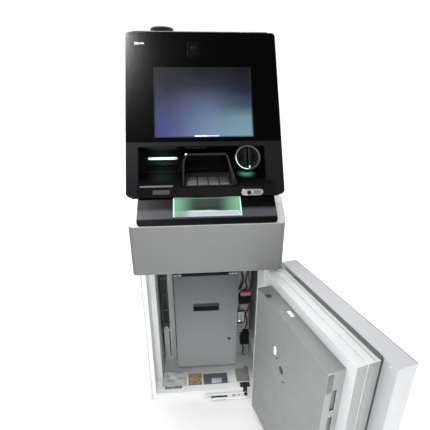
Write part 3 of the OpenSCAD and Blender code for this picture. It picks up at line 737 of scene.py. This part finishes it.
def build_key_marks():
    """One small raised bar on each key, and a locating dot on the middle one."""
    for name in NODE_LOOKS["key"]:
        row, column = int(name[4]), int(name[5])
        place = KEYPAD @ at((column - 2.5) * KEY_DX, FIRST_ROW + (4 - row) * KEY_DY, KEY_TOP)
        bm = bmesh.new()
        add_block(bm, (-3.5, 3.5), (-0.8, 0.8), (-0.1, 0.25), 0.12, place)
        if (row, column) == (2, 2):
            add_turned(bm, [(0.9, 0), (0.8, 0.4), (0.3, 0.7)], place @ at(0, -3.2, 0), 12)
        piece("mark_" + name[4:], bm, "silver_plastic", name + "_cap")


# ---- Cabinet ----
def build_tray_lights():
    low, high = span("cash_tray")
    bm = bmesh.new()
    for side in (-1, 1):
        left, right = sorted((side * (high.x + 0.1), side * (high.x - 2.6)))
        add_loft(bm, [[(left, y, z), (right, y, z), (right, y, z + 1.8), (left, y, z + 1.8)]
                      for y, z in ((-311.5, 764.5), (-264, 804.5))])
    piece("tray_side_lights", bm, "tray_light", "cabinet")
    one("tray_back_light", "tray_dim", "cabinet", "tray_plastic",
        add_block, (low.x + 3, high.x - 3), (-264.4, -262.2), (804.8, 806.4), 0.4)
    one("tray_front_light", "tray_light", "cabinet", "tray_plastic",
        add_block, (low.x + 1, high.x - 1), (-313.2, -310.8), (760.5, 763.4), 0.6)


def build_safe_trim():
    low, high = span("safe_body")
    bm = bmesh.new()
    for side in (-1, 1):
        x = sorted((side * high.x, side * (high.x - 13)))
        add_block(bm, x, (low.y - 0.9, low.y + 0.2), (1.5, high.z - 16), 0.4)
    piece("safe_edge_skins", bm, "safe", "cabinet")
    bm = bmesh.new()
    for side in (-1, 1):
        x = sorted((side * 217.8, side * 219.1))
        add_block(bm, x, (low.y - 0.5, low.y + 0.2), (1.5, high.z - 16), 0.1)
    piece("safe_edge_seams", bm, "seam", "cabinet")
    one("chamber_liner", "inner_metal", "cabinet", "grey_metal",
        add_block, (-186.5, -183), (-176, -112), (21, 575), 0.6)
    one("strike_bar", "inner_metal", "cabinet", "plated_steel",
        add_block, (-153, -125), (-257, -249), (27.6, 28.7), 0.4)
    screws("strike_screws", [(-160, -253, 27.1), (-118, -253, 27.1)], (0, 0, 1), "steel", "cabinet", 3.4)
    screws("channel_screws", [(x, -104.2, z) for x in (-170, 170) for z in (60, 240, 420)], (0, -1, 0),
           "steel", "cabinet", 3.0)
    screws("back_screws", [(x, high.y - 0.1, z) for x in (-215, 0, 215) for z in (625, 1030, 1280)],
           (0, 1, 0), "steel", "cabinet", 3.4)
    one("back_panel_edge", "cabinet", "cabinet", "cabinet_paint",
        add_frame, (-200, 200), (620, 1285), high.y - 0.3, high.y + 0.9, 6, 3)
    for x, letter in ((131, "a"), (151, "b")):
        one("bracket_nut_" + letter, "dark_steel", "cabinet", "dark_steel",
            add_turned, [(5.2, 0), (5.2, 2.6), (4.4, 3.2), (2.2, 3.2), (2.2, 4.4), (1.6, 4.6)],
            at(x, -262, 28.8), 6)


def build_stay_detail():
    one("stay_rivet", "steel", "stay", "plated_steel",
        add_turned, [(5.5, 0), (5.5, 0.8), (4.2, 1.6), (0.5, 1.9)], at(112, -292, 11.9), 20)
    bm = bmesh.new()
    for y in (-295.5, -289.5):
        add_block(bm, (86, 102), (y - 1.3, y + 1.3), (11.8, 12.6), 0.3)
    piece("stay_ribs", bm, "seam", "stay")
    # A black plate under the stay's slot: painted shadow, so that the slot reads dark.
    one("stay_slot_shadow_plate", "black", "stay", "gasket_rubber",
        add_block, (7, 69), (-297.5, -286.5), (8.0, 8.95), 0.2)


def build_left_duct():
    low, high = span("cable_duct")
    bm = bmesh.new()
    for i, x in enumerate((-173, -167.5, -162, -156.5)):
        bend = [(x, low.y - 2.2, low.z + 8), (x + 1.5, low.y - 3.2, 270), (x - 1, low.y - 2.4, 340),
                (x + 0.8 * (-1) ** i, low.y - 3.4, 410), (x, low.y - 2.4, high.z - 3)]
        add_tube(bm, curve_through(bend, 6), 2.4, 8)
    piece("duct_cables", bm, "loom", "cabinet")
    bm = bmesh.new()
    for z in (232, 300, 372, 444):
        add_block(bm, (-177, -153), (low.y - 6.4, low.y - 0.5), (z, z + 4), 0.8)
    piece("duct_ties", bm, "module", "cabinet")
    one("duct_plug", "loom_grey", "cabinet", "black_plastic",
        add_block, (-171, -157), (low.y - 8, low.y + 1), (209, 222), 1)


def build_right_wiring():
    one("terminal_box", "white_box", "cabinet", "grey_metal",
        add_block, (127, 155), (-122, -105), (217, 270), 1.2)
    one("terminal_frame", "black", "cabinet", "black_plastic",
        add_frame, (125, 157), (215, 272), -123.4, -117, 2, 2.4)
    one("terminal_lamp", "white_light", "cabinet", "grey_metal",
        add_turned, [(3.4, 0), (3.4, 1.6), (2.6, 2.4), (0.4, 2.6)], at(134, -122, 224) @ turn(90, "X"), 18)
    bm = bmesh.new()
    for i in range(4):
        z = 148 + i * 15
        add_block(bm, (125, 149), (-120, -105), (z, z + 12.5), 1)
    piece("relay_block", bm, "loom_grey", "cabinet")
    bm = bmesh.new()
    add_block(bm, (130, 178), (-130, -104), (311, 349), 3)
    for i in range(3):
        add_block(bm, (140 + 12 * i, 148 + 12 * i), (-132, -128), (318, 342), 0.8)
    piece("filter_body", bm, "black", "cabinet")
    one("filter_cap", "red", "cabinet", "black_plastic",
        add_block, (136, 178), (-128, -108), (347.5, 364), 3.5)
    routes = [
        ("loom_a", "loom", 4.2,
         [(132, -112, 372), (138, -124, 392), (146, -118, 420), (140, -110, 450), (146, -108, 486)]),
        ("loom_b", "loom", 3.2,
         [(152, -112, 364), (160, -126, 384), (156, -118, 412), (164, -110, 448), (160, -108, 486)]),
        ("loom_c", "loom", 2.2,
         [(170, -112, 364), (174, -122, 392), (168, -114, 430), (172, -108, 486)]),
        ("loom_d", "loom", 3.0,
         [(165, -118, 312), (172, -126, 296), (168, -118, 272), (160, -114, 250), (168, -112, 212),
          (164, -110, 176), (162, -109, 166)]),
        ("loom_e", "loom_red", 1.5,
         [(150, -118, 312), (160, -128, 300), (171, -120, 284), (173, -112, 240), (172, -110, 200),
          (170, -110, 166)]),
        ("loom_f", "loom", 2.6,
         [(156, -114, 108), (152, -112, 90), (158, -110, 66), (154, -110, 44), (160, -108, 26)]),
        ("loom_g", "loom_grey", 2.0,
         [(166, -114, 108), (168, -112, 84), (164, -110, 58), (168, -108, 26)]),
        ("loom_h", "loom", 1.3,
         [(127, -116, 262), (125, -119, 268), (124.6, -124, 276), (132, -121, 284), (140, -116, 304)]),
        ("loom_i", "loom", 1.3,
         [(127, -116, 252), (124.5, -124, 258), (123, -127, 270), (128, -126, 286), (134, -122, 310)]),
    ]
    for name, look, radius, route in routes:
        one(name, look, "cabinet", "black_plastic", add_tube, curve_through(route, 6), radius, 10)
    screws("terminal_screws", [(x, -121.9, z) for x in (134, 148) for z in (262, 236)], (0, -1, 0),
           "steel", "cabinet", 2.2)


# ---- Rack ----
def build_rack_detail():
    low, high = span("rack_cover")
    front = low.y
    top = (high.z + 0.1, high.z + 7.5)
    one("rack_top_bar", "black", "rack", "black_plastic",
        add_block, (-93, 83), (front + 0.5, front + 7), (high.z + 0.2, high.z + 8), 1)
    bm = bmesh.new()
    add_block(bm, (low.x + 1, -94), (front + 1, front + 6), top, 0.8)
    add_block(bm, (84, high.x - 2), (front + 1, front + 6), top, 0.8)
    piece("rack_top_brackets", bm, "inner_metal", "rack")
    screws("rack_top_screws", [(x, front + 1, high.z + 4) for x in (-112, -104, 94, 106)], (0, -1, 0),
           "dark_steel", "rack", 2.4)
    one("rack_label_rim", "rack", "rack", "rack_paint",
        add_frame, (-52.5, 44.5), (344.5, 369), front - 0.5, front + 0.2, 1.5, 1.2)
    one("rack_cover_fold", "rack", "rack", "rack_paint",
        add_frame, (low.x + 0.2, high.x - 0.2), (low.z + 0.2, high.z - 0.2), front - 1.4, front + 0.1, 2, 2.2)
    one("rack_lock", "black", "rack", "dark_steel",
        add_turned, [(5.0, -0.2), (5.0, 0.5), (4.2, 0.8), (3.4, 0.6), (3.2, -0.1)],
        at(88.5, front, 168) @ turn(90, "X"), 24)


# ---- Door ----
def build_door_detail():
    inner = -161.5
    one("cover_slot_rim", "white", "door", "door_paint",
        add_frame, (39, 51), (402, 430), inner - 0.2, inner + 0.7, 5.5, 1.8, DOOR)
    one("cover_slot_plate", "white", "door", "door_paint",
        add_block, (41.3, 48.7), (inner - 1.0, inner + 0.5), (404.3, 427.7), 0.4, DOOR)
    screws("cover_screws", [(32, inner, 400), (-8, inner, 351)], (0, 1, 0),
           "dark_steel", "door", 3.4, DOOR)
    screws("cover_corner_screws", [(x, inner, z) for x in (-156, 156) for z in (64, 299, 534)], (0, 1, 0),
           "door", "door", 2.6, DOOR)
    one("cover_key_escutcheon", "dark_steel", "door", "dark_steel", add_turned,
        [(11, -0.3), (11, 0.5), (9.8, 1.0), (7.4, 1.0), (7.0, 0.2), (6.4, -1.5), (3, -1.8), (1, -1.8)],
        DOOR @ facing((7, inner, 379), (0, 1, 0)), 28)
    one("cover_top_eyelet", "dark_steel", "door", "dark_steel",
        add_turned, [(9.2, -0.4), (9.2, 0.6), (8.2, 1.1), (4.0, 1.1), (3.4, 0.2)],
        DOOR @ at(123, -173, 546.9), 26)
    one("cover_top_tab", "white", "door", "door_paint",
        add_block, (18, 42), (-196, -186), (546.8, 547.7), 0.3, DOOR)
    # A grey strip on the cover's free side: painted shade of its set-back edge.
    one("cover_edge_shadow_strip", "grey_strip", "door", "gasket_rubber",
        add_block, (-170.2, -168.8), (-177, -162.5), (488, 540), 0.4, DOOR)
    one("gasket_lip", "gasket_lip", "door", "gasket_rubber",
        add_block, (-194, 145), (-276.4, -267.6), (576.5, 581.6), 1.2, DOOR)
    one("pan_top_edge", "rubber", "door", "gasket_rubber",
        add_block, (-231, 231), (-329.9, -328.2), (582.7, 583.3), 0.2, DOOR)
    bm = bmesh.new()
    for y in (-252.5, -262.5):
        add_block(bm, (-196, 196), (y - 0.5, y + 0.5), (581.7, 582.5), 0.1, DOOR)
    piece("plate_top_seams", bm, "seam", "door")
    one("door_edge_strip", "door", "door", "door_paint",
        add_block, (-198.9, -197.9), (-262, -241), (44, 570), 0.4, DOOR)
    screws("hinge_screws", [(x, -281, z + s * 24) for x in (170, 205) for z in (130, 490) for s in (-1, 1)],
           (0, -1, 0), "steel", "door", 3.6, DOOR)
    screws("pan_screws", [(x, -279, z) for x in (-214, -190, 212) for z in (52, 573)], (0, 1, 0),
           "steel", "door", 2.6, DOOR @ at(0, 2, 0))


def build_door_front():
    """Ticks round the dial, a collar under the handle and a grip on its end."""
    dial = DOOR @ at(-85, 0, 395)
    handle = DOOR @ at(-60, 0, 290)
    bm = bmesh.new()
    for i in range(50):
        length = 3.4 if i % 5 == 0 else 2.0
        add_block(bm, (32 - length, 32), (-312.5, -311.8), (-0.25, 0.25), 0, dial @ turn(-7.2 * i, "Y"))
    piece("dial_ticks", bm, "pale_mark", "dial_knob")
    bm = bmesh.new()
    for i in range(36):
        add_block(bm, (19.6, 20.8), (-325, -313), (-0.8, 0.8), 0.3, dial @ turn(10 * i, "Y"))
    piece("dial_grip", bm, "black", "dial_knob")
    one("dial_collar", "steel", "door", "plated_steel",
        add_ring_band, 36, 41, -0.5, 1.2, dial @ at(0, -278.6, 0) @ turn(90, "X"), 48)
    one("handle_collar", "steel", "door", "plated_steel",
        add_ring_band, 17.5, 24, -0.5, 1.4, handle @ at(0, -278.6, 0) @ turn(90, "X"), 48)
    one("handle_grip", "black", "handle", "dial_plastic",
        add_turned, [(6, 0), (8.4, 2), (9.2, 10), (9.6, 26), (9.2, 42), (8.2, 50), (6, 52)],
        handle @ at(0, -317.5, -77), 24)


# ---- Loose things on the safe's floor ----
def build_floor_items():
    floor = 20
    bm = bmesh.new()
    columns, rows = 15, 9
    grid = []
    for j in range(rows):
        line = []
        for i in range(columns):
            u, v = i / (columns - 1), j / (rows - 1)
            edge = min(u, 1 - u, v, 1 - v)
            lift = min(1, edge * 6) ** 0.6
            crumple = 2.2 * math.sin(9 * u + 4 * v) + 1.8 * math.sin(17 * v - 6 * u)
            crumple += 1.4 * math.sin(23 * u * v + 2)
            line.append(bm.verts.new((-182 + 92 * u + 2 * math.sin(7 * v),
                                      -241 + 72 * v + 3 * math.sin(6 * u),
                                      floor + 0.4 + lift * (4.0 + 0.55 * crumple))))
        grid.append(line)
    for j in range(rows - 1):
        for i in range(columns - 1):
            bm.faces.new((grid[j][i], grid[j][i + 1], grid[j + 1][i + 1], grid[j + 1][i]))
    solid = bmesh.ops.extrude_face_region(bm, geom=bm.faces[:])
    for element in solid["geom"]:
        if isinstance(element, bmesh.types.BMVert):
            element.co.z = floor + 0.1
    bmesh.ops.subdivide_edges(bm, edges=bm.edges[:], cuts=1, use_grid_fill=True, smooth=0.6)
    piece("loose_pouch", bm, "pouch", "cabinet", 60)
    bm = bmesh.new()
    add_block(bm, (-81, -27), (-245, -187), (floor + 0.1, floor + 2), 0.3)
    for i in range(4):
        for j in range(2):
            x, y = -75 + i * 11.5, -238 + j * 24
            add_block(bm, (x, x + 8), (y, y + 9), (floor + 1.8, floor + 4.5 + (i + j) % 2), 0.4)
    piece("loose_board", bm, "board", "cabinet")
    one("loose_box", "blue_box", "cabinet", "grey_metal",
        add_block, (-20, 76), (-245, -197), (floor + 0.1, floor + 7.2), 1.0)
    one("loose_box_label", "label", "cabinet", "white_paint",
        add_block, (12, 52), (-243, -220), (floor + 7.1, floor + 7.5), 0.1)
    one("loose_filter", "mesh", "cabinet", "grey_metal",
        add_block, (112, 165), (-238, -180), (floor + 0.1, floor + 7.6), 1.2)


# ---- Roof ----
def build_roof():
    puck_low, puck_high = span("antenna_puck")
    centre = (puck_low + puck_high) / 2
    bm = bmesh.new()
    add_ring_band(bm, 33, 36.2, -0.6, 0.0, at(centre.x, centre.y, puck_high.z), 48)
    add_turned(bm, [(7, -0.6), (7, -0.05), (6, 0.0), (2, 0.0)], at(centre.x, centre.y, puck_high.z), 24)
    piece("puck_rim", bm, "charcoal", "cabinet")


for build in (build_display, build_receipt, build_audio_pill, build_card_reader, build_hood, build_key_marks,
              build_tray_lights, build_safe_trim, build_stay_detail, build_left_duct, build_right_wiring,
              build_rack_detail, build_door_detail, build_door_front, build_floor_items, build_roof):
    build()


# ---- Stage, lights and camera ----
def build_stage():
    """The floor. It glows faintly away from the machine, so that it runs into the background."""
    look = Look("floor")
    away = look.range(look.measure("LENGTH", look.coords), 0.45, 2.0, 0.0, 0.45)
    look.set(Emission_Strength=away, Emission_Color=(1, 1, 1), Base_Color=(0.88, 0.88, 0.88), Roughness=0.7)
    bm = bmesh.new()
    add_block(bm, (-9000, 9000), (-9000, 9000), (-40, -0.5), 0)
    mesh_object("floor", bm, "floor")


def build_world():
    """Bright sides and top, a dark band high in front, and plain white wherever the camera sees it."""
    world = bpy.data.worlds.new("studio")
    bpy.context.scene.world = world
    world.use_nodes = True
    world.node_tree.nodes.clear()
    sky = Graph(world.node_tree)
    direction = sky.node("TexCoord").outputs["Generated"]
    towards_dark = sky.measure("DOT_PRODUCT", direction, (0.0, -0.5, 0.866))
    x, _, z = sky.axes(direction)
    sides = sky.range(sky.math("ABSOLUTE", x), 0.45, 0.95, 0.0, 2.2)
    above = sky.range(z, 0.35, 0.95)
    light = sky.math("ADD", sky.math("ADD", sides, above), 0.55)
    light = sky.math("MULTIPLY", light, sky.range(towards_dark, 0.62, 0.84, 1.0, 0.01))
    seen = sky.node("LightPath").outputs["Is Camera Ray"]
    unseen = sky.math("MULTIPLY", sky.math("SUBTRACT", 1.0, seen), light)
    strength = sky.math("ADD", sky.math("MULTIPLY", seen, 1.05), unseen)
    background = sky.node("Background", Color=(1, 1, 1), Strength=strength)
    sky.node("OutputWorld", Surface=background.outputs["Background"])


def add_area(name, place, target, size, power):
    data = bpy.data.lights.new(name, "AREA")
    data.shape = "RECTANGLE"
    data.size, data.size_y = size
    data.energy = power
    lamp = add_object(name, data)
    lamp.location = place
    lamp.rotation_euler = (Vector(target) - Vector(place)).to_track_quat("-Z", "Y").to_euler()
    return lamp


def build_camera():
    place = Vector((-0.0439, -1.1868, 1.1077))
    yaw, pitch, roll = (math.radians(a) for a in (4.23, 21.12, -0.13))
    forward = Vector((math.sin(yaw) * math.cos(pitch), math.cos(yaw) * math.cos(pitch), -math.sin(pitch)))
    right = Vector((math.cos(yaw), -math.sin(yaw), 0))
    up = right.cross(forward)
    side = math.cos(roll) * right + math.sin(roll) * up
    top = math.cos(roll) * up - math.sin(roll) * right
    data = bpy.data.cameras.new("camera")
    data.lens = 26.78
    data.sensor_width = 36
    camera = add_object("camera", data)
    camera.matrix_world = Matrix([*zip(side, top, -forward, place), (0, 0, 0, 1)])
    bpy.context.scene.camera = camera


build_stage()
build_world()
add_area("overhead", (0.0, 1.0, 2.7), (0, -0.1, 0.7), (2.4, 1.4), 57)
add_area("front_left", (-1.9, -1.3, 1.9), (0, -0.2, 0.2), (0.9, 0.9), 6)
add_area("front_low", (0.1, -1.9, 0.45), (0, -0.2, 0.2), (1.0, 0.5), 14)
corner = add_area("corner", (-0.75, -0.7, 2.67), (-0.24, -0.01, 1.25), (0.3, 0.42), 90)
corner.visible_diffuse = False
front_high = add_area("front_high", (-0.15, -1.75, 2.35), (0, -0.2, 0.1), (0.8, 0.8), 27)
front_high.visible_glossy = False
build_camera()
bpy.context.scene.view_settings.view_transform = "Standard"
